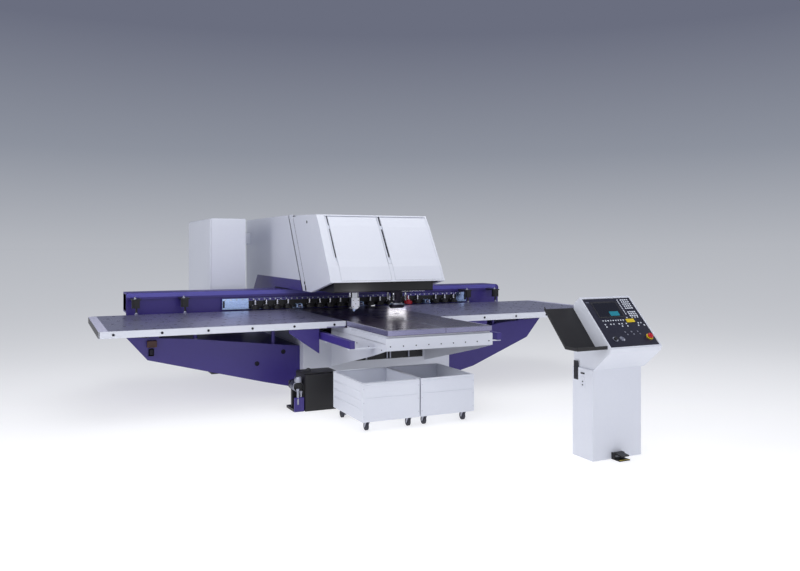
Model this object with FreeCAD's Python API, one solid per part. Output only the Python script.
"""CNC punch press with a linear tool magazine, a laser head, moving side tables and a console.

Frame: millimetres, +X right, +Y away from the operator, +Z up. The origin is on the floor, at the
centre of the four anchor bolts. One STEP file is written for each sub-part.
"""
import FreeCAD, Part
import math
import os

Vec = FreeCAD.Vector
X_AXIS = Vec(1, 0, 0)

# ---------------------------------------------------------------- driving dimensions
TABLE_TOP = 1000.0          # height of the sheet plane above the floor
TABLE_HALF_LENGTH = 3510.0  # from the middle of the machine to the outer end of a side table
TABLE_DEPTH = 1985.0        # depth of the side tables
TABLE_BACK = -130.0         # back edge of the side tables, carriage fully back
TABLE_EDGE = 76.0           # height of the edge trim
TRIM = 20.0                 # thickness of the front trim
END_CAP = 100.0             # width of the end cap
DECK = 20.0                 # thickness of a table deck
CENTRE_HALF = 665.0         # half width of the fixed centre table
TABLE_GAP = 7.0             # gap between a side table and the centre table
CENTRE_PLATE = 60.0         # thickness of the two front centre plates
SEAM = 4.0                  # seam between neighbouring plates
SEAM_X = 56.0               # place of the seam between the two front plates
Y_TRAVEL = 1230.0           # carriage travel towards the operator

MAGAZINE_X = 398.0          # middle of the tool magazine, as the rail stands now
RAIL_LEFT_REACH = 2115.0    # cross rail to the left of the magazine's middle
RAIL_RIGHT_REACH = 1923.0   # and to its right
RAIL_FRONT = 62.0           # front face of the rail plate
RAIL_WALL = 30.0
RAIL_HEIGHT = 156.0         # rail plate above its underside

PUNCH_X = 358.0             # punch axis
LASER_X = -275.0            # laser axis
HEAD_Y = -1400.0            # both tool axes
RAM_RADIUS = 60.0
RAM_FIT = 0.05              # radial running clearance of the ram
STRIPPER_RADIUS = 105.0
STRIPPER_GAP = 79.0         # stripper above the table, ram up
DIE_RADIUS = 45.0           # pocket of the die
DIE_DEPTH = 30.0
SLUG_RADIUS = 25.0
LASER_HOLE = 40.0           # radius of the hole in the table under the laser

BEAM_FRONT = 130.0
BEAM_DEPTH = 380.0
BEAM_HEIGHT = 272.0
BEAM_BAND = 90.0            # height of the overhanging top band
BAND_OVERHANG = 18.0
BEAM_LIFT = 8.0             # beam underside above the sheet plane
BEAM_SHORT = (495.0, 520.0)  # beam ends inside the tables' outer ends, left and right
BEAM_ROUND = 60.0
SLIDE_GAP = 0.5             # clearance of plain sliding faces

BAR_X = 960.0               # guide bars, centre
BAR_WIDTH = 60.0
BAR_HEIGHT = 85.0
BAR_DROP = 130.0            # top of the bars below the sheet plane
BAR_FRONT = -3050.0
BAR_BACK = 620.0

BOX_WALL = 12.0             # plate of the welded box sections
FRAME_PLATE = 50.0          # side plates of the C-frame
FRAME_WIDTH = 440.0         # C-frame over its side plates
OUTRIGGER_FRONT = -1489.0
OUTRIGGER_BACK = 560.0
LEFT_REACH = 3171.0         # tip of the left outrigger from the middle
RIGHT_REACH = 2690.0        # tip of the right outrigger
HEEL = 240.0                # lower heel of an outrigger inside its tip

BASE_HALF = 1060.0          # half width of the lower housing
BASE_DROP = 220.0           # its top below the sheet plane
BASE_FRONT = -1618.0
BASE_BACK = 640.0
BASE_BOTTOM = 110.0
SHEET = 5.0                 # wall of the folded covers
FRAME_DROP = 85.0           # top of the front frame below the sheet plane
FOOT_HEIGHT = 60.0
FOOT_SIZE = 180.0
FOOT_X = 600.0
FOOT_Y = 1400.0
FOOT_HOLE = 11.0            # radius of an anchor bolt hole
BASE_PLATE = 80.0           # thickness of the C-frame's base plate

HOOD_LEFT = -776.0
HOOD_RIGHT = 858.0
COVER = 4.0                 # wall of the hood and side covers
COVER_CLEAR = 20.0          # upper covers above the beam
ROOF_HEIGHT = 1380.0        # roof above the sheet plane
REAR = 2448.0
FRONT_LINE = [(-1865, 460), (-1762, 655), (-1694, 755), (-1420, 1187), (-1300, 1345)]
HOOD_BACK = [(-408, 1365), (-1098, 300)]     # back edge of the hood, top and bottom
STRIP_BACK = [(-223, 1380), (-872, 300)]     # joint between the two strips behind it
SIDE_FRONT = [(-36, 1380), (-703, 300)]      # front edge of the side covers
STRIP_GAP = 14.0
DOOR_WALL = 20.0
DOOR_LOW = 480.0            # lower edge of the doors above the sheet plane
DOOR_HIGH = 1316.0
DOOR_CLEAR = 3.0
DOOR_HEAD_CLEAR = 13.0      # the tilted hinge lifts a door's top edge as it opens
LEFT_DOOR = (-625.0, 75.0)
RIGHT_DOOR = (133.0, 828.0)
GRIP_WIDTH = 50.0           # grip channel beside the left edge of a door
GRIP_DEPTH = 26.0
GRIP_LOW = 690.0            # lower end of a grip channel above the sheet plane
SKIRT_DROP = 137.0          # dark guard frame below the hood

CABINET = (-1754.0, -1237.0, 640.0, 2440.0, 2329.0)   # x0, x1, y0, y1, height
CONSOLE_X = (375.0, 937.0)
CONSOLE_Y = (-5465.0, -5184.0)
CONSOLE_SHOULDER = 814.0
HEAD_X = (388.0, 974.0)
HEAD_FRONT = (-5690.0, 1026.0)
HEAD_RISE = 425.0           # rise and run of the 45 degree operating panel
CONSOLE_WALL = 4.0
PANEL_EDGE = 14.0           # rim of the head round the operating panel
STEM_RADIUS = 10.0
STEM_FIT = 0.06

CART_WIDTH = 655.0
CART_DEPTH = 858.0
CART_HEIGHT = 406.0
CART_GAP = 18.0
CART_LEFT = -1084.0
CART_FRONT = -3641.0
CART_WALL = 4.0
WHEEL_RADIUS = 45.0
WHEEL_WIDTH = 26.0
AXLE_RADIUS = 6.0
STEM = 8.0                  # radius of a caster stem and of the rear axle
AXLE_FIT = 0.05
CASTER_TRAIL = 25.0
CASTER_INSET = 85.0

TOOL_PITCH = 165.0
TOOL_COUNT = 21
TOOL_RADIUS = 60.0
CLAMP_STATIONS = (4, 10, 17)
RED_STATION = 15

FLAP = (108.0, 608.0, -2060.0, -1560.0)   # x0, x1, y0, y1 of the parts flap
FLAP_GAP = 3.0
FLAP_WALL = 12.0
HINGE_RADIUS = 8.0
HINGE_DROP = 40.0           # flap hinge below the sheet plane

# ---------------------------------------------------------------- values worked out
TABLE_FRONT = TABLE_BACK - TABLE_DEPTH
PLATE_FRONT = TABLE_FRONT - Y_TRAVEL
TABLE_INNER = CENTRE_HALF + TABLE_GAP
TABLE_UNDER = TABLE_TOP - TABLE_EDGE
BEAM_UNDER = TABLE_TOP + BEAM_LIFT
BEAM_TOP = BEAM_UNDER + BEAM_HEIGHT
BEAM_LEFT = BEAM_SHORT[0] - TABLE_HALF_LENGTH
BEAM_RIGHT = TABLE_HALF_LENGTH - BEAM_SHORT[1]
BAR_TOP = TABLE_TOP - BAR_DROP
BASE_TOP = TABLE_TOP - BASE_DROP
FRAME_TOP = TABLE_TOP - FRAME_DROP
FRAME_HALF = CENTRE_HALF + 14.0
FRAME_FRONT = PLATE_FRONT + 10.0
COVER_BOTTOM = BEAM_TOP + COVER_CLEAR
ROOF = TABLE_TOP + ROOF_HEIGHT
FRONT_PROFILE = [(y, TABLE_TOP + up) for y, up in FRONT_LINE]
HOOD_BACK_TOP, HOOD_BACK_BOTTOM = [(y, TABLE_TOP + up) for y, up in HOOD_BACK]
STRIP_TOP, STRIP_BOTTOM = [(y, TABLE_TOP + up) for y, up in STRIP_BACK]
SIDE_TOP, SIDE_BOTTOM = [(y, TABLE_TOP + up) for y, up in SIDE_FRONT]
HOOD_LOW = FRONT_PROFILE[0][1]
HOOD_HIGH = FRONT_PROFILE[-1][1]
FRAME_X = (PUNCH_X - FRAME_WIDTH / 2, PUNCH_X + FRAME_WIDTH / 2)
THROAT_TOP = TABLE_TOP + 480.0
CART_FLOOR = 2 * WHEEL_RADIUS + 17.0
CART_TOP = CART_FLOOR + CART_HEIGHT
ESTOP_X = HEAD_X[1] - 75.0
ESTOP_UP = 110.0            # distance up the panel slope
KNOB_X = HEAD_X[0] + 120.0
KNOB_UP = 110.0
PANEL_RUN = (20.0, HEAD_RISE * math.sqrt(2) - 20.0)   # operating panel along the slope
PEDAL_X = (CONSOLE_X[0] + CONSOLE_X[1]) / 2 - 10


# ---------------------------------------------------------------- shape helpers
def block(x0, x1, y0, y1, z0, z1):
    """Box between two corners."""
    return Part.makeBox(x1 - x0, y1 - y0, z1 - z0, Vec(x0, y0, z0))


def prism_x(points, x0, x1):
    """Outline of (y, z) points drawn out along X."""
    wire = Part.makePolygon([Vec(x0, y, z) for y, z in points + points[:1]])
    return Part.Face(wire).extrude(Vec(x1 - x0, 0, 0))


def prism_y(points, y0, y1):
    """Outline of (x, z) points drawn out along Y."""
    wire = Part.makePolygon([Vec(x, y0, z) for x, z in points + points[:1]])
    return Part.Face(wire).extrude(Vec(0, y1 - y0, 0))


def rod(radius, start, end):
    """Round bar between two points."""
    a = Vec(*start)
    run = Vec(*end) - a
    return Part.makeCylinder(radius, run.Length, a, run)


def joined(shapes):
    """One solid made of touching shapes."""
    result = shapes[0]
    for shape in shapes[1:]:
        result = result.fuse(shape)
    return result.removeSplitter()


def mirrored(shape):
    """The same shape on the other side of the middle."""
    return shape.mirror(Vec(0, 0, 0), X_AXIS)


def on_line(low, high, z):
    """Y on the line through two (y, z) points at height z."""
    return low[0] + (high[0] - low[0]) * (z - low[1]) / (high[1] - low[1])


def front_y(z):
    """Y of the hood's front at height z."""
    for low, high in zip(FRONT_PROFILE, FRONT_PROFILE[1:]):
        if z <= high[1]:
            return on_line(low, high, z)
    return FRONT_PROFILE[-1][0]


def front_points(z0, z1):
    """The hood's front outline from z0 up to z1."""
    inner = [p for p in FRONT_PROFILE if z0 < p[1] < z1]
    return [(front_y(z0), z0)] + inner + [(front_y(z1), z1)]


def front_slab(x0, x1, z0, z1, depth, wall):
    """A panel that follows the hood's front, set back by depth."""
    outer = [(y + depth, z) for y, z in front_points(z0, z1)]
    inner = [(y + wall, z) for y, z in reversed(outer)]
    return prism_x(outer + inner, x0, x1)


# ---------------------------------------------------------------- base and frame
def anchor_feet():
    """Four levelling feet with bolt holes."""
    feet = []
    half = FOOT_SIZE / 2
    for x in (-FOOT_X, FOOT_X):
        for y in (-FOOT_Y, FOOT_Y):
            foot = block(x - half, x + half, y - half, y + half, 0, FOOT_HEIGHT)
            feet.append(foot.cut(rod(FOOT_HOLE, (x, y, -1), (x, y, FOOT_HEIGHT + 1))))
    return Part.makeCompound(feet)


def c_frame():
    """Welded C-frame: two side plates, webs and a wide base plate."""
    x0, x1 = FRAME_X
    top = ROOF - 80
    arm = BASE_TOP - SHEET
    low = FOOT_HEIGHT + BASE_PLATE
    back, throat_back, nose, foot_front = 2300, 700, -1560, -1600
    web = 60
    outline = [(foot_front, low), (back, low), (back, top), (-1150, top), (nose, THROAT_TOP + 160),
               (nose, THROAT_TOP), (throat_back, THROAT_TOP), (throat_back, arm), (foot_front, arm)]
    sides = [prism_x(outline, x0, x0 + FRAME_PLATE), prism_x(outline, x1 - FRAME_PLATE, x1)]
    webs = [block(x0, x1, -1100, back, top - 50, top), block(x0, x1, back - 50, back, low, top),
            block(x0, x1, nose, throat_back, THROAT_TOP, THROAT_TOP + web),
            block(x0, x1, throat_back, throat_back + 50, arm - web - 15, THROAT_TOP + web),
            block(x0, x1, foot_front, throat_back, arm - web, arm),
            block(x0, x1, foot_front, foot_front + 50, low, arm)]
    half = FOOT_X + 100
    base = block(-half, half, foot_front, back + 50, FOOT_HEIGHT, low)
    base = base.cut(block(-half + 300, half - 300, -1200, 600, 0, low + 1))
    frame = joined(sides + webs + [base])
    for x in (-FOOT_X, FOOT_X):
        for y in (-FOOT_Y, FOOT_Y):
            frame = frame.cut(rod(FOOT_HOLE, (x, y, 0), (x, y, low + 1)))
    slug = rod(60, (PUNCH_X, HEAD_Y, low + 160), (PUNCH_X, HEAD_Y, BASE_TOP))
    bore = rod(RAM_RADIUS + 5, (PUNCH_X, HEAD_Y, THROAT_TOP - 10), (PUNCH_X, HEAD_Y, THROAT_TOP + 80))
    return frame.cut(slug).cut(bore)


def lower_housing():
    """Wide lower cover of the machine, open below."""
    outer = block(-BASE_HALF, BASE_HALF, BASE_FRONT, BASE_BACK, BASE_BOTTOM, BASE_TOP)
    inner = block(-BASE_HALF + SHEET, BASE_HALF - SHEET, BASE_FRONT + SHEET, BASE_BACK + 1,
                  BASE_BOTTOM - 1, BASE_TOP - SHEET)
    slot = block(-CENTRE_HALF + 70, CENTRE_HALF - 70, HEAD_Y - 120, HEAD_Y + 120,
                 BASE_TOP - SHEET - 1, BASE_TOP + 1)
    return outer.cut(inner).cut(slot)


def front_frame():
    """Cantilever frame that carries the front plates: two cheeks and a front sheet."""
    back = BASE_FRONT
    cheek = [(FRAME_FRONT, TABLE_TOP - 223), (FRAME_FRONT + 373, TABLE_TOP - 320), (back, TABLE_TOP - 633),
             (back, FRAME_TOP), (FRAME_FRONT, FRAME_TOP)]
    outer = prism_x(cheek, -FRAME_HALF, FRAME_HALF)
    inner = block(-FRAME_HALF + SHEET, FRAME_HALF - SHEET, FRAME_FRONT + SHEET, back + 1, 0, TABLE_TOP + 1)
    shell = outer.cut(inner)
    low_ring = block(-FRAME_HALF, FRAME_HALF, FRAME_FRONT, TABLE_FRONT, FRAME_TOP - 10, FRAME_TOP)
    neck = block(-FRAME_HALF + 24, FRAME_HALF - 24, FRAME_FRONT + 24, TABLE_FRONT - 2,
                 FRAME_TOP, TABLE_TOP - CENTRE_PLATE)
    opening = block(-FRAME_HALF + 60, FRAME_HALF - 60, FRAME_FRONT + 60, TABLE_FRONT - 60, 0, TABLE_TOP + 1)
    ring = joined([low_ring, neck]).cut(opening)
    tabs = []
    reach = BAR_X + BAR_WIDTH / 2
    low = BAR_TOP - BAR_HEIGHT
    for y in (BAR_FRONT + 20, TABLE_FRONT - 185):
        tabs.append(block(-reach, -FRAME_HALF + SHEET, y, y + 60, low - BOX_WALL, low))
        tabs.append(block(FRAME_HALF - SHEET, reach, y, y + 60, low - BOX_WALL, low))
    return joined([shell, ring] + tabs)


def guide_bars():
    """The two Y guide bars: a plain bar on the housing, carried on to the front."""
    half = BAR_WIDTH / 2
    low = BAR_TOP - BAR_HEIGHT
    bar = block(BAR_X - half, BAR_X + half, BAR_FRONT, BAR_BACK, low, BAR_TOP)
    pad = block(BAR_X - half, BAR_X + half, BASE_FRONT, BAR_BACK, BASE_TOP, low)
    right = joined([bar, pad])
    return Part.makeCompound([right, mirrored(right)])


def centre_plates():
    """The two fixed plates in front of the centre table."""
    low = TABLE_TOP - CENTRE_PLATE
    y1 = TABLE_FRONT - SEAM / 2
    left = block(-CENTRE_HALF, SEAM_X - SEAM / 2, PLATE_FRONT, y1, low, TABLE_TOP)
    right = block(SEAM_X + SEAM / 2, CENTRE_HALF, PLATE_FRONT, y1, low, TABLE_TOP)
    return left, right


def centre_table():
    """Fixed table between the side tables, with openings for die, laser and flap."""
    y0 = TABLE_FRONT + SEAM / 2
    under = TABLE_TOP - 25
    high = TABLE_TOP + 1
    top = block(-CENTRE_HALF, CENTRE_HALF, y0, TABLE_BACK, under, TABLE_TOP)
    rim = CENTRE_HALF - 45
    webs = []
    for x in (-rim, rim - 10):
        webs.append(block(x, x + 10, BASE_FRONT, TABLE_BACK, BASE_TOP, under))
    for y in (HEAD_Y + 200, TABLE_BACK - 10):
        webs.append(block(-rim, rim, y, y + 10, BASE_TOP, under))
    rails = [block(-CENTRE_HALF, 20 - rim, y0, BASE_FRONT, FRAME_TOP, under),
             block(rim - 20, CENTRE_HALF, y0, BASE_FRONT, FRAME_TOP, under)]
    table = joined([top] + webs + rails)
    die = rod(STRIPPER_RADIUS + 0.3, (PUNCH_X, HEAD_Y, BASE_TOP), (PUNCH_X, HEAD_Y, high))
    beam_hole = rod(LASER_HOLE, (LASER_X, HEAD_Y, BASE_TOP), (LASER_X, HEAD_Y, high))
    x0, x1, fy0, fy1 = FLAP
    flap = block(x0 - FLAP_GAP, x1 + FLAP_GAP, fy0 - FLAP_GAP, fy1 + FLAP_GAP + 14, BASE_TOP, high)
    table = table.cut(die).cut(beam_hole).cut(flap)
    ears = []
    hinge = TABLE_TOP - HINGE_DROP
    for x in (x0 + 30, x1 - 60):
        ear = block(x, x + 30, fy1 + 2, fy1 + 45, hinge - 20, under + 5)
        bore = rod(HINGE_RADIUS + AXLE_FIT, (x - 1, fy1 + 10, hinge), (x + 31, fy1 + 10, hinge))
        ears.append(ear.cut(bore))
    return joined([table] + ears)


def chute_flap():
    """Tilting flap that drops cut parts, with its hinge pin."""
    x0, x1, y0, y1 = FLAP
    plate = block(x0, x1, y0, y1 - 4, TABLE_TOP - FLAP_WALL, TABLE_TOP)
    hinge_y = y1 + 10
    hinge = TABLE_TOP - HINGE_DROP
    pin = rod(HINGE_RADIUS, (x0 + 10, hinge_y, hinge), (x1 - 10, hinge_y, hinge))
    arms = []
    for x in (x0 + 10, x0 + 66, x1 - 76, x1 - 20):
        arms.append(prism_x([(y1 - 40, TABLE_TOP - FLAP_WALL), (y1 - 40, hinge - 10),
                             (hinge_y + 6, hinge - 10), (hinge_y + 6, hinge + 6),
                             (y1 - 6, TABLE_TOP - FLAP_WALL)], x, x + 10))
    return joined([plate, pin] + arms)


def die_holder():
    """Round die seat that stands on the lower arm, flush with the table."""
    low = BASE_TOP - SHEET
    body = rod(STRIPPER_RADIUS, (PUNCH_X, HEAD_Y, low), (PUNCH_X, HEAD_Y, TABLE_TOP))
    seat = rod(DIE_RADIUS, (PUNCH_X, HEAD_Y, TABLE_TOP - DIE_DEPTH), (PUNCH_X, HEAD_Y, TABLE_TOP + 1))
    slug = rod(SLUG_RADIUS, (PUNCH_X, HEAD_Y, low - 1), (PUNCH_X, HEAD_Y, TABLE_TOP))
    return body.cut(seat).cut(slug)


# ---------------------------------------------------------------- upper covers
def hood_shell():
    """Hood over the tool heads: cheeks, top and the frame round the two doors."""
    profile = list(FRONT_PROFILE) + [HOOD_BACK_TOP, HOOD_BACK_BOTTOM]
    cheeks = [prism_x(profile, HOOD_LEFT, HOOD_LEFT + COVER),
              prism_x(profile, HOOD_RIGHT - COVER, HOOD_RIGHT)]
    top = [FRONT_PROFILE[-1], HOOD_BACK_TOP, (HOOD_BACK_TOP[0], HOOD_BACK_TOP[1] - COVER),
           (FRONT_PROFILE[-1][0] + 4, FRONT_PROFILE[-1][1] - COVER)]
    roof = prism_x(top, HOOD_LEFT, HOOD_RIGHT)
    low, high, gap, frame = HOOD_LOW, HOOD_HIGH, DOOR_CLEAR, 30
    grip_end = TABLE_TOP + GRIP_LOW
    bars = [front_slab(HOOD_LEFT, LEFT_DOOR[0] - GRIP_WIDTH, low, high, 0, frame),
            front_slab(LEFT_DOOR[0] - GRIP_WIDTH, LEFT_DOOR[0] + 10, low, high, GRIP_DEPTH, 6),
            front_slab(LEFT_DOOR[0] - GRIP_WIDTH, LEFT_DOOR[0] - gap, low, grip_end, 0, frame),
            front_slab(LEFT_DOOR[1] + gap, RIGHT_DOOR[0] + 10, low, high, GRIP_DEPTH, 6),
            front_slab(LEFT_DOOR[1] + gap, RIGHT_DOOR[0] - gap, low, grip_end, 0, frame),
            front_slab(RIGHT_DOOR[1] + gap, HOOD_RIGHT, low, high, 0, frame),
            front_slab(HOOD_LEFT, HOOD_RIGHT, low, TABLE_TOP + DOOR_LOW - gap, 0, frame),
            front_slab(HOOD_LEFT, HOOD_RIGHT, TABLE_TOP + DOOR_HIGH + DOOR_HEAD_CLEAR, high, 0, frame),
            front_slab(LEFT_DOOR[0], RIGHT_DOOR[1], TABLE_TOP + DOOR_HIGH - 10, high, DOOR_WALL + 1, 8)]
    return joined(cheeks + [roof] + bars)


def hood_door(x0, x1):
    """One front door: a folded skin with a turned-in rim."""
    low, high = TABLE_TOP + DOOR_LOW, TABLE_TOP + DOOR_HIGH
    skin = front_slab(x0, x1, low, high, 0, DOOR_WALL)
    pocket = front_slab(x0 + 25, x1 - 25, low + 25, high - 25, COVER, DOOR_WALL)
    return skin.cut(pocket)


def hood_skirt():
    """Dark guard frame under the hood."""
    low, high = HOOD_LOW - SKIRT_DROP, HOOD_LOW + 15
    outer = block(HOOD_LEFT + 86, HOOD_RIGHT - 123, -1750, -1130, low, high)
    inner = block(HOOD_LEFT + 98, HOOD_RIGHT - 135, -1738, -1142, low - 1, high + 1)
    return outer.cut(inner)


def between(front, back, low, high):
    """Outline between two slanted lines, from one height to another."""
    return [(on_line(*front, low), low), (on_line(*back, low), low),
            (on_line(*back, high), high), (on_line(*front, high), high)]


def seam_band():
    """Band between the hood and the side covers: two slanted strips a side and a roof strip."""
    front = [(y + STRIP_GAP, z) for y, z in (HOOD_BACK_BOTTOM, HOOD_BACK_TOP)]
    middle = [STRIP_BOTTOM, STRIP_TOP]
    before = [(y - STRIP_GAP, z) for y, z in middle]
    back = [(y - STRIP_GAP, z) for y, z in (SIDE_BOTTOM, SIDE_TOP)]
    wide = between(front, before, COVER_BOTTOM, ROOF - 30)
    slim = between(middle, back, COVER_BOTTOM, ROOF)
    floor = between(front, back, COVER_BOTTOM, ROOF - 40)
    inset = 10.0
    sides = []
    for outline, depth in ((wide, inset), (slim, inset), (floor, inset + COVER)):
        sides.append(prism_x(outline, HOOD_LEFT + depth, HOOD_LEFT + depth + COVER))
        sides.append(prism_x(outline, HOOD_RIGHT - depth - COVER, HOOD_RIGHT - depth))
    roof = block(HOOD_LEFT + inset, HOOD_RIGHT - inset, HOOD_BACK_TOP[0] + 8, SIDE_TOP[0] - STRIP_GAP,
                 ROOF - 48, ROOF - 40)
    return joined(sides + [roof])


def side_outline():
    """Outline of a side cover with the step over the beam."""
    back = BASE_BACK + 8
    return [(on_line(SIDE_BOTTOM, SIDE_TOP, COVER_BOTTOM), COVER_BOTTOM), (back, COVER_BOTTOM),
            (back, FOOT_HEIGHT), (REAR, FOOT_HEIGHT), (REAR, ROOF), (SIDE_TOP[0], ROOF)]


def accent_outline():
    """Outline of the coloured lower side panel."""
    top = TABLE_TOP + 447.0
    low = TABLE_TOP + 160.0
    back = BASE_BACK + 8
    return [(on_line(SIDE_BOTTOM, SIDE_TOP, COVER_BOTTOM), COVER_BOTTOM), (back, COVER_BOTTOM), (back, low),
            (1990, low), (1689, top), (on_line(SIDE_BOTTOM, SIDE_TOP, top), top)]


def side_panels():
    """Left and right side covers and the coloured panel of each side."""
    panel_left = prism_x(side_outline(), HOOD_LEFT, HOOD_LEFT + COVER)
    accent_left = prism_x(accent_outline(), HOOD_LEFT, HOOD_LEFT + COVER)
    panel_right = prism_x(side_outline(), HOOD_RIGHT - COVER, HOOD_RIGHT)
    return panel_left.cut(accent_left), accent_left, panel_right


def rear_cover():
    """Roof and rear wall, one folded sheet."""
    x0, x1 = HOOD_LEFT + COVER, HOOD_RIGHT - COVER
    roof = block(x0, x1, SIDE_TOP[0], REAR, ROOF - COVER, ROOF)
    wall = block(x0, x1, REAR - COVER, REAR, FOOT_HEIGHT, ROOF)
    return joined([roof, wall])


def head_housing():
    """Guide block of the ram and the carrier of the laser head, bolted to the C-frame."""
    half = 140.0
    low = TABLE_TOP + 290
    body = block(PUNCH_X - half, PUNCH_X + half, HEAD_Y - half, HEAD_Y + half, low, THROAT_TOP)
    neck = rod(RAM_RADIUS + 22, (PUNCH_X, HEAD_Y, low - 60), (PUNCH_X, HEAD_Y, low))
    arm = block(LASER_X - 80, PUNCH_X - half, HEAD_Y + 66, HEAD_Y + 126, THROAT_TOP - 140, THROAT_TOP)
    plate = block(LASER_X - 80, LASER_X + 80, HEAD_Y + 66, HEAD_Y + 96, low + 20, TABLE_TOP + 700)
    housing = joined([body, neck, arm, plate])
    bore = rod(RAM_RADIUS + RAM_FIT, (PUNCH_X, HEAD_Y, low - 61), (PUNCH_X, HEAD_Y, THROAT_TOP + 1))
    return housing.cut(bore)


def punch_ram():
    """Ram with the stripper disc at its lower end."""
    low = TABLE_TOP + STRIPPER_GAP
    ram = rod(RAM_RADIUS, (PUNCH_X, HEAD_Y, low + 20), (PUNCH_X, HEAD_Y, THROAT_TOP + 50))
    disc = rod(STRIPPER_RADIUS, (PUNCH_X, HEAD_Y, low + 12), (PUNCH_X, HEAD_Y, low + 45))
    foot = Part.makeCone(STRIPPER_RADIUS - 14, STRIPPER_RADIUS, 12, Vec(PUNCH_X, HEAD_Y, low))
    punch = rod(14, (PUNCH_X, HEAD_Y, low - 6), (PUNCH_X, HEAD_Y, low + 30))
    return joined([ram, disc, foot, punch])


def laser_head():
    """Laser head: a slim body behind a flat cover with a cut-off lower edge, and a short nozzle."""
    half = 53.0
    low, high = TABLE_TOP + 84, TABLE_TOP + 234
    chamfer = 34
    outline = [(LASER_X - half, low + chamfer), (LASER_X - 20, low), (LASER_X + 20, low),
               (LASER_X + half, low + chamfer), (LASER_X + half, high), (LASER_X - half, high)]
    cover = prism_y(outline, HEAD_Y - 62, HEAD_Y - 30)
    body = block(LASER_X - 38, LASER_X + 38, HEAD_Y - 30, HEAD_Y + 66 - SLIDE_GAP, low + 6, TABLE_TOP + 420)
    nozzle = Part.makeCone(8, 20, 46, Vec(LASER_X, HEAD_Y, TABLE_TOP + 44))
    tube = rod(30, (LASER_X, HEAD_Y, TABLE_TOP + 400), (LASER_X, HEAD_Y, TABLE_TOP + 560))
    return joined([cover, body, nozzle, tube])


# ---------------------------------------------------------------- outriggers, power unit, cabinet
def outrigger(tip):
    """Side support under a table: a deep tapered box with three posts. Made for the left side."""
    heel = tip - HEEL
    foot = BASE_BOTTOM + 8
    outline = [(-tip, TABLE_TOP - 144), (-heel, TABLE_TOP - 423), (-1530, foot + 95), (-1128, foot),
               (-BASE_HALF, foot), (-BASE_HALF, TABLE_TOP - 356), (-1314, TABLE_TOP - 329),
               (-heel + 490, TABLE_TOP - 197)]
    body = prism_y(outline, OUTRIGGER_FRONT, OUTRIGGER_BACK)
    face = Part.Face(Part.makePolygon([Vec(x, 0, z) for x, z in outline + outline[:1]]))
    core = face.makeOffset2D(-BOX_WALL, 2).extrude(Vec(0, OUTRIGGER_BACK - OUTRIGGER_FRONT - 2 * BOX_WALL, 0))
    core.translate(Vec(0, OUTRIGGER_FRONT + BOX_WALL, 0))
    body = body.cut(core)
    high = TABLE_UNDER - SLIDE_GAP
    y = OUTRIGGER_FRONT + 49
    posts = [rod(22, (-heel + 560, y, TABLE_TOP - 220), (-heel + 560, y, high)),
             rod(22, (-1400, y, TABLE_TOP - 360), (-1400, y, high)),
             block(-heel + 20, -heel + 130, y - 40, y + 60, TABLE_TOP - 220, high)]
    return joined([body] + posts)


def tank():
    """Closed tank of the hydraulic unit."""
    return block(-1291, -870, -2415, -2050, 0, 420)


def pump_motor():
    """Pump and motor beside the tank on a foot."""
    foot = block(-1420, -1291, -2370, -2090, 0, 30)
    web = block(-1400, -1310, -2250, -2200, 30, 240)
    motor = rod(54, (-1352, -2340, 280), (-1352, -2160, 280))
    flange = rod(60, (-1352, -2160, 280), (-1352, -2140, 280))
    pump = block(-1392, -1312, -2140, -2080, 240, 320)
    return joined([foot, web, motor, flange, pump])


def cabinet_shell():
    """Electrical cabinet, open on its left side where the door closes it."""
    x0, x1, y0, y1, top = CABINET
    outer = block(x0, x1, y0, y1, 0, top)
    inner = block(x0 - 1, x1 - COVER, y0 + COVER, y1 - COVER, 80, top - COVER)
    return outer.cut(inner)


def cabinet_door():
    """Door of the electrical cabinet."""
    x0, _, y0, y1, top = CABINET
    skin = block(x0 - 22, x0 - 2, y0 + 4, y1 - 4, 84, top - 6)
    pocket = block(x0 - 18, x0, y0 + 34, y1 - 34, 114, top - 36)
    return skin.cut(pocket)


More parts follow.
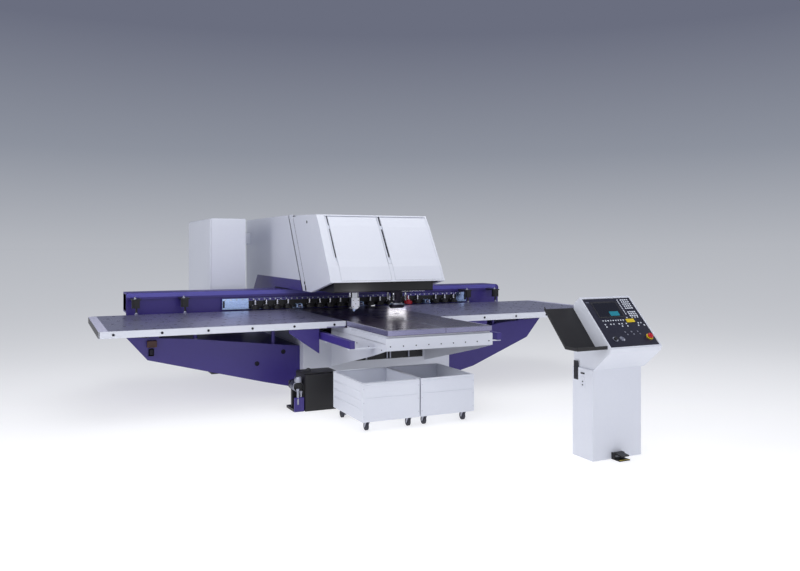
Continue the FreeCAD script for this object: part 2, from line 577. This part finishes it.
# ---------------------------------------------------------------- moving carriage
def beam():
    """Cross beam with an overhanging top band, a rounded right end and two guide feet."""
    y0, y1 = BEAM_FRONT, BEAM_FRONT + BEAM_DEPTH
    band_low = BEAM_TOP - BEAM_BAND
    web = block(BEAM_LEFT, BEAM_RIGHT, y0, y1, BEAM_UNDER, band_low)
    band = block(BEAM_LEFT, BEAM_RIGHT, y0 - BAND_OVERHANG, y1, band_low, BEAM_TOP)
    body = joined([web, band])
    edges = [e for e in body.Edges
             if abs(e.CenterOfMass.x - BEAM_RIGHT) < 1 and abs(e.CenterOfMass.z - BEAM_TOP) < 1]
    body = body.makeFillet(BEAM_ROUND, edges)
    body = body.cut(block(BEAM_LEFT + BOX_WALL, BEAM_RIGHT - BOX_WALL - 10, y0 + BOX_WALL, y1 - BOX_WALL,
                          BEAM_UNDER + BOX_WALL, band_low - BOX_WALL))
    inner = TABLE_INNER + 28
    low = TABLE_UNDER + 10
    aprons = [block(BEAM_LEFT, -inner, y0, y0 + BOX_WALL, low, BEAM_UNDER),
              block(inner, BEAM_RIGHT, y0, y0 + BOX_WALL, low, BEAM_UNDER)]
    feet = []
    for x in (-BAR_X, BAR_X):
        half = BAR_WIDTH / 2
        foot = block(x - half - 30, x + half + 30, y0 + 20, y1 - 20, BAR_TOP - 30, BEAM_UNDER + 20)
        slot = block(x - half - SLIDE_GAP, x + half + SLIDE_GAP, y0, y1, 0, BAR_TOP + SLIDE_GAP)
        feet.append(foot.cut(slot))
    brackets = []
    for side in (-1, 1):
        for x in (side * (TABLE_HALF_LENGTH - 1010), side * (TABLE_INNER + 528)):
            arm = block(x - 60, x + 60, TABLE_BACK, y1, TABLE_UNDER, BEAM_UNDER + 5)
            step = block(x - 70, x + 70, TABLE_BACK - 1, y0 + 20, TABLE_TOP - DECK, BEAM_TOP)
            brackets.append(arm.cut(step))
    return joined([body] + aprons + feet + brackets)


def beam_brackets():
    """Black hold-down cylinders that hang from the beam's top band, in front of the magazine."""
    solids = []
    y = -TOOL_RADIUS - 45.0
    high, low = BEAM_TOP - BEAM_BAND + 2, TABLE_TOP + 85
    for x in (BEAM_LEFT + 110, BEAM_LEFT + 750, BEAM_RIGHT - 730, BEAM_RIGHT - 200):
        arm = block(x - 60, x + 60, y - 30, BEAM_FRONT - BAND_OVERHANG, high, high + 16)
        cylinder = block(x - 40, x + 40, y - 32, y + 32, low, high)
        cheek = block(x - 60, x - 40, y - 20, y + 20, low, high)
        pin = rod(14, (x, y, TABLE_TOP + 4), (x, y, low))
        solids.append(joined([arm, cylinder, cheek, pin]))
    return Part.makeCompound(solids)


def side_table(side):
    """Side table: a deck on ribs. Made for the right side and mirrored."""
    x0, x1 = TABLE_INNER, TABLE_HALF_LENGTH - END_CAP
    y0, y1 = TABLE_FRONT + TRIM, TABLE_BACK
    low = TABLE_TOP - DECK
    rib = 40
    deck = block(x0, x1, y0, y1, low, TABLE_TOP)
    ribs = []
    for y in (y0, y0 + (y1 - y0) / 3, y0 + 2 * (y1 - y0) / 3, y1 - rib):
        ribs.append(block(x0, x1, y, y + rib, TABLE_UNDER, low))
    for x in (x0, (x0 + x1) / 2, x1 - rib):
        ribs.append(block(x, x + rib, y0, y1, TABLE_UNDER, low))
    table = joined([deck] + ribs)
    return table if side > 0 else mirrored(table)


def edge_trims():
    """Front trims of the two side tables, shallower at the inner end."""
    trim = block(TABLE_INNER, TABLE_HALF_LENGTH, TABLE_FRONT, TABLE_FRONT + TRIM, TABLE_UNDER, TABLE_TOP)
    step = block(TABLE_INNER - 1, TABLE_INNER + 250, TABLE_FRONT - 1, TABLE_FRONT + TRIM + 1,
                 TABLE_UNDER - 1, TABLE_UNDER + 16)
    trim = trim.cut(step)
    return Part.makeCompound([trim, mirrored(trim)])


def end_caps():
    """Outer end caps of the two side tables, with a cut back corner."""
    x0, x1 = TABLE_HALF_LENGTH - END_CAP, TABLE_HALF_LENGTH
    y0, y1 = TABLE_FRONT + TRIM, TABLE_BACK
    outline = [Vec(x0, y0, 0), Vec(x1, y0, 0), Vec(x1, y1 - 60, 0), Vec(x1 - 50, y1, 0), Vec(x0, y1, 0)]
    face = Part.Face(Part.makePolygon(outline + outline[:1]))
    cap = face.extrude(Vec(0, 0, TABLE_EDGE))
    cap.translate(Vec(0, 0, TABLE_UNDER))
    cap = cap.cut(block(x0 - 1, x1 - 12, y0 + 20, y1 - 70, 0, TABLE_TOP - 12))
    return Part.makeCompound([cap, mirrored(cap)])


def roller_brackets():
    """Gusset and guide shoe under the inner end of each side table."""
    half = BAR_WIDTH / 2
    outer = BAR_X + half + 16
    low = BAR_TOP - 70
    reach = outer + 382
    outline = [(outer, TABLE_UNDER), (reach, TABLE_UNDER), (reach, TABLE_TOP - 120), (outer, TABLE_TOP - 386)]
    gusset = prism_y(outline, TABLE_FRONT + 30, TABLE_FRONT + 42)
    y0, y1 = TABLE_FRONT + 370, TABLE_FRONT + 570
    shoe = block(BAR_X - half - 30, outer + 20, y0, y1, low, TABLE_UNDER)
    slot = block(BAR_X - half - SLIDE_GAP, BAR_X + half + SLIDE_GAP, y0 - 1, y1 + 1, 0, BAR_TOP + SLIDE_GAP)
    link = block(outer, outer + 20, TABLE_FRONT + 42, y0, low, TABLE_UNDER)
    right = joined([gusset, link, shoe.cut(slot)])
    return Part.makeCompound([right, mirrored(right)])


def trim_screws():
    """Screw heads on the front trims."""
    screws = []
    z = (TABLE_TOP + TABLE_UNDER) / 2
    count = 6
    inset = 150
    pitch = (TABLE_HALF_LENGTH - TABLE_INNER - 2 * inset) / (count - 1)
    for side in (-1, 1):
        for i in range(count):
            x = side * (TABLE_INNER + inset + i * pitch)
            screws.append(rod(14, (x, TABLE_FRONT - 5, z), (x, TABLE_FRONT, z)))
    return Part.makeCompound(screws)


# ---------------------------------------------------------------- cross rail and magazine
def station_x(index):
    """X of a magazine station."""
    return MAGAZINE_X + (index - (TOOL_COUNT - 1) / 2) * TOOL_PITCH


def cross_rail():
    """Cross rail that carries the magazine: a plate on a sliding shoe, with a row of holes."""
    x0, x1 = MAGAZINE_X - RAIL_LEFT_REACH, MAGAZINE_X + RAIL_RIGHT_REACH
    back = RAIL_FRONT + RAIL_WALL
    top = BEAM_UNDER + RAIL_HEIGHT
    plate = block(x0, x1, RAIL_FRONT, back, BEAM_UNDER, top)
    shoe = block(x0 + 40, x1 - 40, back, BEAM_FRONT - SLIDE_GAP, BEAM_UNDER + 22, BEAM_UNDER + 92)
    rail = joined([plate, shoe])
    holes = []
    pitch = TOOL_PITCH / 2
    for i in range(int((x1 - x0) / pitch)):
        x = x0 + pitch * (i + 0.5)
        holes.append(rod(8, (x, RAIL_FRONT - 1, top - 16), (x, back + 1, top - 16)))
    return rail.cut(Part.makeCompound(holes))


def tool_cassette(x):
    """One cassette: a holder arm with a round tool."""
    z = BEAM_UNDER
    arm = block(x - 45, x + 45, 0, RAIL_FRONT, z + 10, z + 44)
    tool = rod(TOOL_RADIUS, (x, 0, z), (x, 0, z + 38))
    hub = rod(TOOL_RADIUS / 2, (x, 0, z + 38), (x, 0, z + 68))
    pin = rod(9, (x, RAIL_FRONT - 22, z + 44), (x, RAIL_FRONT - 22, z + 130))
    return joined([arm, tool, hub, pin])


def tool_cassettes():
    """All black cassettes of the magazine, and the red one."""
    black = []
    for i in range(TOOL_COUNT):
        if i not in CLAMP_STATIONS and i != RED_STATION:
            black.append(tool_cassette(station_x(i)))
    return Part.makeCompound(black), tool_cassette(station_x(RED_STATION))


def clamp_body(x):
    """Fixed half of a sheet clamp with its two ears."""
    z = BEAM_UNDER
    body = block(x - 45, x + 45, -25, RAIL_FRONT, z, z + 56)
    finger = block(x - 45, x + 45, -58, -25, z, z + 6)
    slot = block(x - 22, x + 22, -60, 40, z + 6, z + 92)
    bore = rod(HINGE_RADIUS + AXLE_FIT, (x - 50, 10, z + 36), (x + 50, 10, z + 36))
    return joined([body, finger]).cut(slot).cut(bore)


def clamp_jaw(x):
    """Upper jaw with its pivot pin."""
    z = BEAM_UNDER
    outline = [(-57, z + 10), (-20, z + 10), (18, z + 20), (22, z + 50), (-10, z + 52), (-57, z + 26)]
    lever = prism_x(outline, x - 20, x + 20)
    return joined([lever, rod(HINGE_RADIUS, (x - 44, 10, z + 36), (x + 44, 10, z + 36))])


# ---------------------------------------------------------------- console
def panel_point(along, up, x):
    """Point on the operating panel: distance up the slope and height above it."""
    c = math.sqrt(0.5)
    return Vec(x, HEAD_FRONT[0] + along * c - up * c, HEAD_FRONT[1] + along * c + up * c)


def console_body():
    """Pedestal of the console, a folded column."""
    x0, x1 = CONSOLE_X
    y0, y1 = CONSOLE_Y
    outer = block(x0, x1, y0, y1, 0, CONSOLE_SHOULDER)
    inner = block(x0 + CONSOLE_WALL, x1 - CONSOLE_WALL, y0 + CONSOLE_WALL, y1 - CONSOLE_WALL,
                  CONSOLE_WALL, CONSOLE_SHOULDER - CONSOLE_WALL)
    return outer.cut(inner)


def console_head():
    """Sloped head of the console, a hollow housing with a recessed face."""
    front, low = HEAD_FRONT
    top = (front + HEAD_RISE, low + HEAD_RISE)
    back = CONSOLE_Y[1]
    outline = [(front, low), top, (back, top[1] - 60), (back, CONSOLE_SHOULDER),
               (CONSOLE_Y[0], CONSOLE_SHOULDER), (front + 14, low - 34)]
    shell = prism_x(outline, *HEAD_X)
    w = 8.0
    inner = [(front + 3 * w, low + w), (top[0], top[1] - 3 * w), (back - w, top[1] - 60 - w),
             (back - w, CONSOLE_SHOULDER + w), (CONSOLE_Y[0] + w, CONSOLE_SHOULDER + w)]
    shell = shell.cut(prism_x(inner, HEAD_X[0] + w, HEAD_X[1] - w))
    recess = panel_slab(HEAD_X[0] + PANEL_EDGE, HEAD_X[1] - PANEL_EDGE, *PANEL_RUN, -30, 5)
    return shell.cut(recess)


def panel_slab(x0, x1, a0, a1, u0, u1):
    """Slab laid on the panel slope: along a0 to a1, height u0 to u1."""
    corners = [panel_point(a0, u0, x0), panel_point(a1, u0, x0), panel_point(a1, u1, x0),
               panel_point(a0, u1, x0)]
    return Part.Face(Part.makePolygon(corners + corners[:1])).extrude(Vec(x1 - x0, 0, 0))


def console_panel():
    """Black operating panel with holes for the button and the selector."""
    rim = PANEL_EDGE + SLIDE_GAP
    start, end = PANEL_RUN[0] + SLIDE_GAP, PANEL_RUN[1] - SLIDE_GAP
    bore = STEM_RADIUS + STEM_FIT
    plate = panel_slab(HEAD_X[0] + rim, HEAD_X[1] - rim, start, end, -10, -4)
    for x, along in ((ESTOP_X, ESTOP_UP), (KNOB_X, KNOB_UP)):
        plate = plate.cut(rod(bore, panel_point(along, -30, x), panel_point(along, 10, x)))
    collar = rod(34, panel_point(ESTOP_UP, -4, ESTOP_X), panel_point(ESTOP_UP, 4, ESTOP_X))
    collar = collar.cut(rod(bore, panel_point(ESTOP_UP, -30, ESTOP_X), panel_point(ESTOP_UP, 10, ESTOP_X)))
    return joined([plate, collar])


def estop_button():
    """Emergency stop: a mushroom head on a stem."""
    stem = rod(STEM_RADIUS, panel_point(ESTOP_UP, -24, ESTOP_X), panel_point(ESTOP_UP, 14, ESTOP_X))
    head = rod(26, panel_point(ESTOP_UP, 13, ESTOP_X), panel_point(ESTOP_UP, 30, ESTOP_X))
    return joined([stem, head])


def selector_knob():
    """Turning selector on a round stem."""
    stem = rod(STEM_RADIUS, panel_point(KNOB_UP, -24, KNOB_X), panel_point(KNOB_UP, 2, KNOB_X))
    cap = rod(18, panel_point(KNOB_UP, -3.5, KNOB_X), panel_point(KNOB_UP, 14, KNOB_X))
    return joined([stem, cap])


def document_tray():
    """Sloped tray for papers at the console's left side."""
    t = 5.0
    x0, x1 = 61.0, HEAD_X[0]
    back = (-5175.0, 1349.0)
    low = (-5480.0, 1027.0)
    outline = [back, low, (-5640, 1027), (-5640, 1052), (-5640 - t, 1052), (-5640 - t, 1027 - t),
               (low[0] + 2, low[1] - t), (back[0] + 5, back[1] - t)]
    floor = prism_x(outline, x0, x1)
    rim = prism_x([back, low, (-5640, 1027), (-5640, 1050), (low[0], 1050), (back[0], back[1] + 23)],
                  x0, x0 + t)
    return joined([floor, rim])


def pedal_base():
    """Base plate and hinge ears of the foot pedal."""
    x = PEDAL_X
    plate = block(x - 60, x + 60, CONSOLE_Y[0] - 110, CONSOLE_Y[0], 0, 10)
    ears = [block(x - 60, x - 48, CONSOLE_Y[0] - 40, CONSOLE_Y[0], 10, 60),
            block(x + 48, x + 60, CONSOLE_Y[0] - 40, CONSOLE_Y[0], 10, 60)]
    bore = rod(AXLE_RADIUS + AXLE_FIT, (x - 61, CONSOLE_Y[0] - 20, 44), (x + 61, CONSOLE_Y[0] - 20, 44))
    return joined([plate] + ears).cut(bore)


def foot_pedal():
    """Foot pedal with its pin."""
    x = PEDAL_X
    y = CONSOLE_Y[0]
    tread = prism_x([(y - 115, 40), (y - 12, 50), (y - 12, 62), (y - 115, 52)], x - 44, x + 44)
    lug = block(x - 44, x + 44, y - 30, y - 12, 36, 56)
    pin = rod(AXLE_RADIUS, (x - 58, y - 20, 44), (x + 58, y - 20, 44))
    return joined([tread, lug, pin])


# ---------------------------------------------------------------- scrap carts
def cart_x(index):
    """Left face of a cart."""
    return CART_LEFT + index * (CART_WIDTH + CART_GAP)


def cart_box(index):
    """Open box of a cart with its rim, corner pads and rear axle plates."""
    x0 = cart_x(index)
    x1 = x0 + CART_WIDTH
    y0, y1 = CART_FRONT, CART_FRONT + CART_DEPTH
    outer = block(x0, x1, y0, y1, CART_FLOOR, CART_TOP)
    inner = block(x0 + CART_WALL, x1 - CART_WALL, y0 + CART_WALL, y1 - CART_WALL,
                  CART_FLOOR + CART_WALL, CART_TOP + 1)
    shell = outer.cut(inner)
    parts = [shell]
    for x in (x0 + CASTER_INSET, x1 - CASTER_INSET):
        y = y0 + CASTER_INSET
        pad = block(x - 35, x + 35, y - 35, y + 35, CART_FLOOR - 12, CART_FLOOR)
        parts.append(pad.cut(rod(STEM + AXLE_FIT, (x, y, CART_FLOOR - 30), (x, y, CART_FLOOR - 2))))
    axle_y = y1 - CASTER_INSET
    for x in (x0 + CASTER_INSET + 20, x1 - CASTER_INSET - 28):
        plate = block(x, x + 8, axle_y - 30, axle_y + 30, WHEEL_RADIUS - 20, CART_FLOOR)
        bore = rod(STEM + AXLE_FIT, (x - 1, axle_y, WHEEL_RADIUS), (x + 9, axle_y, WHEEL_RADIUS))
        parts.append(plate.cut(bore))
    return joined(parts)


def caster_fork(x, y):
    """Swivel fork with stem and axle, trailing to the back."""
    crown = block(x - 22, x + 22, y - 22, y + 22, 2 * WHEEL_RADIUS + 1.5, CART_FLOOR - 12 - SLIDE_GAP)
    stem = rod(STEM, (x, y, CART_FLOOR - 14), (x, y, CART_FLOOR - 3))
    legs = []
    for dx in (-21.0, 16.0):
        outline = [(y - 20, CART_FLOOR - 18), (y + CASTER_TRAIL - 10, WHEEL_RADIUS - 12),
                   (y + CASTER_TRAIL + 10, WHEEL_RADIUS - 12), (y + 22, CART_FLOOR - 18),
                   (y + 22, CART_FLOOR - 14), (y - 20, CART_FLOOR - 14)]
        legs.append(prism_x(outline, x + dx, x + dx + 5))
    axle_y = y + CASTER_TRAIL
    axle = rod(AXLE_RADIUS, (x - 21, axle_y, WHEEL_RADIUS), (x + 21, axle_y, WHEEL_RADIUS))
    return joined([crown, stem, axle] + legs)


def caster_wheel(x, y):
    """Wheel of a swivel caster."""
    half = WHEEL_WIDTH / 2
    axle_y = y + CASTER_TRAIL
    tyre = rod(WHEEL_RADIUS, (x - half, axle_y, WHEEL_RADIUS), (x + half, axle_y, WHEEL_RADIUS))
    bore = rod(AXLE_RADIUS + AXLE_FIT, (x - 30, axle_y, WHEEL_RADIUS), (x + 30, axle_y, WHEEL_RADIUS))
    return tyre.cut(bore)


def rear_wheels(index):
    """Rear axle of a cart with its two wheels."""
    x0 = cart_x(index)
    x1 = x0 + CART_WIDTH
    y = CART_FRONT + CART_DEPTH - CASTER_INSET
    axle = rod(STEM, (x0 + 50, y, WHEEL_RADIUS), (x1 - 50, y, WHEEL_RADIUS))
    wheels = [rod(WHEEL_RADIUS, (x, y, WHEEL_RADIUS), (x + WHEEL_WIDTH, y, WHEEL_RADIUS))
              for x in (x0 + 60, x1 - 60 - WHEEL_WIDTH)]
    return joined([axle] + wheels)


# ---------------------------------------------------------------- export
def nodes():
    """Every node's name and shape."""
    plate_left, plate_right = centre_plates()
    panel_left, accent_left, panel_right = side_panels()
    cassettes, red = tool_cassettes()
    table = {
        "anchor_feet": anchor_feet(), "c_frame": c_frame(), "lower_housing": lower_housing(),
        "front_frame": front_frame(), "guide_bars": guide_bars(), "centre_plate_left": plate_left,
        "centre_plate_right": plate_right, "centre_table": centre_table(), "chute_flap": chute_flap(),
        "die_holder": die_holder(), "hood_shell": hood_shell(), "hood_skirt": hood_skirt(),
        "hood_door_left": hood_door(*LEFT_DOOR), "hood_door_right": hood_door(*RIGHT_DOOR),
        "seam_band": seam_band(), "side_panel_left": panel_left, "accent_panel_left": accent_left,
        "side_panel_right": panel_right, "rear_cover": rear_cover(), "head_housing": head_housing(),
        "punch_ram": punch_ram(), "laser_head": laser_head(), "outrigger_left": outrigger(LEFT_REACH),
        "outrigger_right": mirrored(outrigger(RIGHT_REACH)),
        "power_unit": Part.makeCompound([tank(), pump_motor()]),
        "cabinet_shell": cabinet_shell(), "cabinet_door": cabinet_door(),
        "beam": beam(), "beam_brackets": beam_brackets(), "side_table_left": side_table(-1),
        "side_table_right": side_table(1), "edge_trims": edge_trims(), "end_caps": end_caps(),
        "roller_brackets": roller_brackets(), "trim_screws": trim_screws(), "cross_rail": cross_rail(),
        "tool_cassettes": cassettes, "red_cassette": red,
        "clamp_bodies": Part.makeCompound([clamp_body(station_x(i)) for i in CLAMP_STATIONS]),
        "clamp_jaws": Part.makeCompound([clamp_jaw(station_x(i)) for i in CLAMP_STATIONS]),
        "console_body": console_body(), "console_head": console_head(),
        "console_panel": console_panel(), "estop_button": estop_button(),
        "selector_knob": selector_knob(), "document_tray": document_tray(),
        "pedal_base": pedal_base(), "foot_pedal": foot_pedal(),
    }
    for index, name in enumerate(("left_cart", "right_cart")):
        table[f"{name}_box"] = cart_box(index)
        table[f"{name}_rear_wheels"] = rear_wheels(index)
        y = CART_FRONT + CASTER_INSET
        for side, x in (("l", cart_x(index) + CASTER_INSET),
                        ("r", cart_x(index) + CART_WIDTH - CASTER_INSET)):
            table[f"{name}_fork_{side}"] = caster_fork(x, y)
            table[f"{name}_wheel_{side}"] = caster_wheel(x, y)
    return table


def main():
    """Write one STEP file for each node."""
    os.makedirs("parts", exist_ok=True)
    for name, shape in nodes().items():
        shape.exportStep(os.path.join("parts", name + ".step"))
        print(name, "solids", len(shape.Solids), "valid", shape.isValid(), "litres",
              round(shape.Volume / 1e6, 2))


main()
